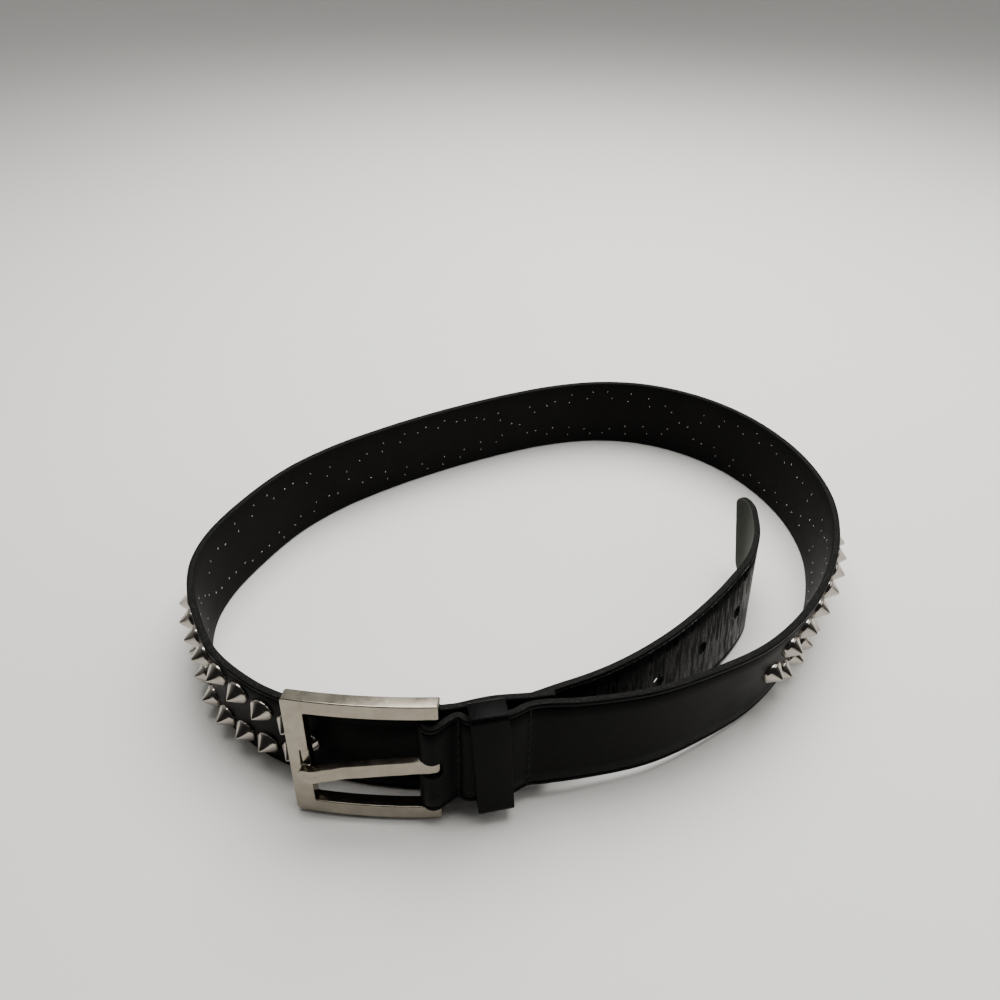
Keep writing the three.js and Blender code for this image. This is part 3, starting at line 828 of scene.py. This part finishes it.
# The prong: one piece of the same plated zinc, with an eye that turns on the bar. Its shank
# runs behind the frame's front, then steps forward over the end bar, where its tip rests.
# Its rows are along as a share of its length, then how far its middle lies before the bar's
# axis and its thickness, as shares of its width.
PRONG_WIDTH, PRONG_LENGTH = 5.6, 45.4
PRONG_SIDE = [
    (0, 0.51, 0.29), (0.08, 0.52, 0.39), (0.25, 0.54, 0.46), (0.63, 0.6, 0.5),
    (0.78, 0.76, 0.5), (0.87, 0.87, 0.48), (1, 0.75, 0.36),
]
PRONG_SAG = 0.15
PRONG_STRAIGHT = 4
PRONG_EDGE = 0.6
EYE_RADIUS = 3.65
EYE_BORE = 2.05
SHANK_ROWS = 30
SHANK_START = 2.0


def prong_at(x):
    """How far the shank's middle lies before the bar's axis, and its thickness, in mm."""
    share = min(1.0, max(0.0, -x / PRONG_LENGTH))
    for (a, f0, t0), (b, f1, t1) in zip(PRONG_SIDE, PRONG_SIDE[1:]):
        if share <= b:
            w = (share - a) / (b - a)
            w = w * w * (3 - 2 * w)
            return (f0 + (f1 - f0) * w) * PRONG_WIDTH, (t0 + (t1 - t0) * w) * PRONG_WIDTH


shank = block("prong_tongue", (SHANK_START, 1, PRONG_WIDTH), (-SHANK_START / 2, 0, 0))
edit_mode()
tip_start = PRONG_LENGTH - PRONG_WIDTH / 2
row_gap = (tip_start - SHANK_START) / SHANK_ROWS
row_ends = [SHANK_START + i * row_gap for i in range(1, SHANK_ROWS + 1)]
row_ends += [tip_start + PRONG_WIDTH / 2 * share for share in (0.35, 0.62, 0.82, 0.94, 0.99)]
reached = SHANK_START
for x in row_ends:
    pick("FACE", lambda f: f.normal.x < -0.9)
    pull(reached - x, 0, 0)
    reached = x
object_mode()
for v in shank.data.vertices:
    x = v.co.x / MM
    front, thick = prong_at(x)
    past = max(0.0, -x - tip_start) / (PRONG_WIDTH / 2)
    v.co.z *= math.sqrt(max(0.0, 1 - past**2))
    v.co.y = (-front + math.copysign(thick / 2, v.co.y) * (1 - 0.25 * past**3)) * MM
round_sharp_edges(shank, PRONG_EDGE, 3)
eye = rod("prong_eye", EYE_RADIUS, PRONG_WIDTH, "Z", sides=36)
round_sharp_edges(eye, 0.4, 2)
cut_away(shank, eye, "UNION")
cut_away(shank, rod("eye_bore", EYE_BORE, 2 * PRONG_WIDTH, "Z", sides=36))
for v in shank.data.vertices:
    v.co.z += min(0.0, v.co.x / MM + PRONG_STRAIGHT) * PRONG_SAG * MM
shank.data.transform(BUCKLE)
smooth(shank, 40)
apply_modifier(shank, "WEIGHTED_NORMAL", keep_sharp=True)
shank.data.materials.clear()
shank.data.materials.append(plate)
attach(shank, "prong")
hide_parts("prong")

# The floor: a plain pale matt board. The colour varies so little that it only keeps it from
# looking printed.
start_clean()
bpy.ops.mesh.primitive_plane_add(size=12, location=(0, 0, -0.0002))
floor = bpy.context.object
floor.name = "floor"
pale, tree = new_material("pale_matt_board")
uneven = noise(tree, add_node(tree, "TexCoord").outputs["Object"], 2.0, 2.0)
surface(tree, shades(tree, uneven, (0.3, "#e4e3df"), (0.7, "#e8e7e3")), 0.6, specular=0.3)
floor.data.materials.append(pale)

# The light of a white tent: a broad soft panel above and behind the belt, a weaker one at the
# right, and a grey surround that is darker on the camera's side.
PANEL_COLOUR = (1.0, 0.985, 0.965)


def soft_panel(name, size, place, watts):
    """A square soft light that faces the middle of the floor."""
    lamp = bpy.data.lights.new(name, "AREA")
    lamp.shape, lamp.size, lamp.energy = "SQUARE", size, watts
    lamp.color = PANEL_COLOUR
    holder = bpy.data.objects.new(name, lamp)
    bpy.context.scene.collection.objects.link(holder)
    holder.location = place
    holder.rotation_euler = (-Vector(place)).to_track_quat("-Z", "Y").to_euler()


soft_panel("top_panel", 0.8, (0.1, 0.34, 0.8), 17.5)
soft_panel("right_panel", 0.5, (0.75, -0.1, 0.5), 1.8)
surround = bpy.data.worlds.new("grey_surround")
surround.use_nodes = True
tree = surround.node_tree
tree.nodes.clear()
ahead = soft_step(tree, part_of(tree, add_node(tree, "TexCoord").outputs["Generated"], 1), -0.5, 0.5)
glow = shades(tree, ahead, (0.0, "#3c3c3c"), (1.0, "#d6d6d4"))
back = add_node(tree, "Background", None, {"Color": glow, "Strength": 0.85})
add_node(tree, "OutputWorld", None, {"Surface": back.outputs[0]})
bpy.context.scene.world = surround

# The camera stands where the photo's did, as fitted to the edges of the strap, and looks down
# at the middle of the loop.
lens = bpy.data.cameras.new("camera")
lens.lens, lens.sensor_width = 26.0, 36.0
lens.clip_start, lens.clip_end = 0.01, 20
camera = bpy.data.objects.new("camera", lens)
bpy.context.scene.collection.objects.link(camera)
camera.location = (-0.01119, -0.23042, 0.24982)
camera.rotation_euler = (math.radians(48.8), 0, 0)
bpy.context.scene.camera = camera

bpy.context.view_layer.update()
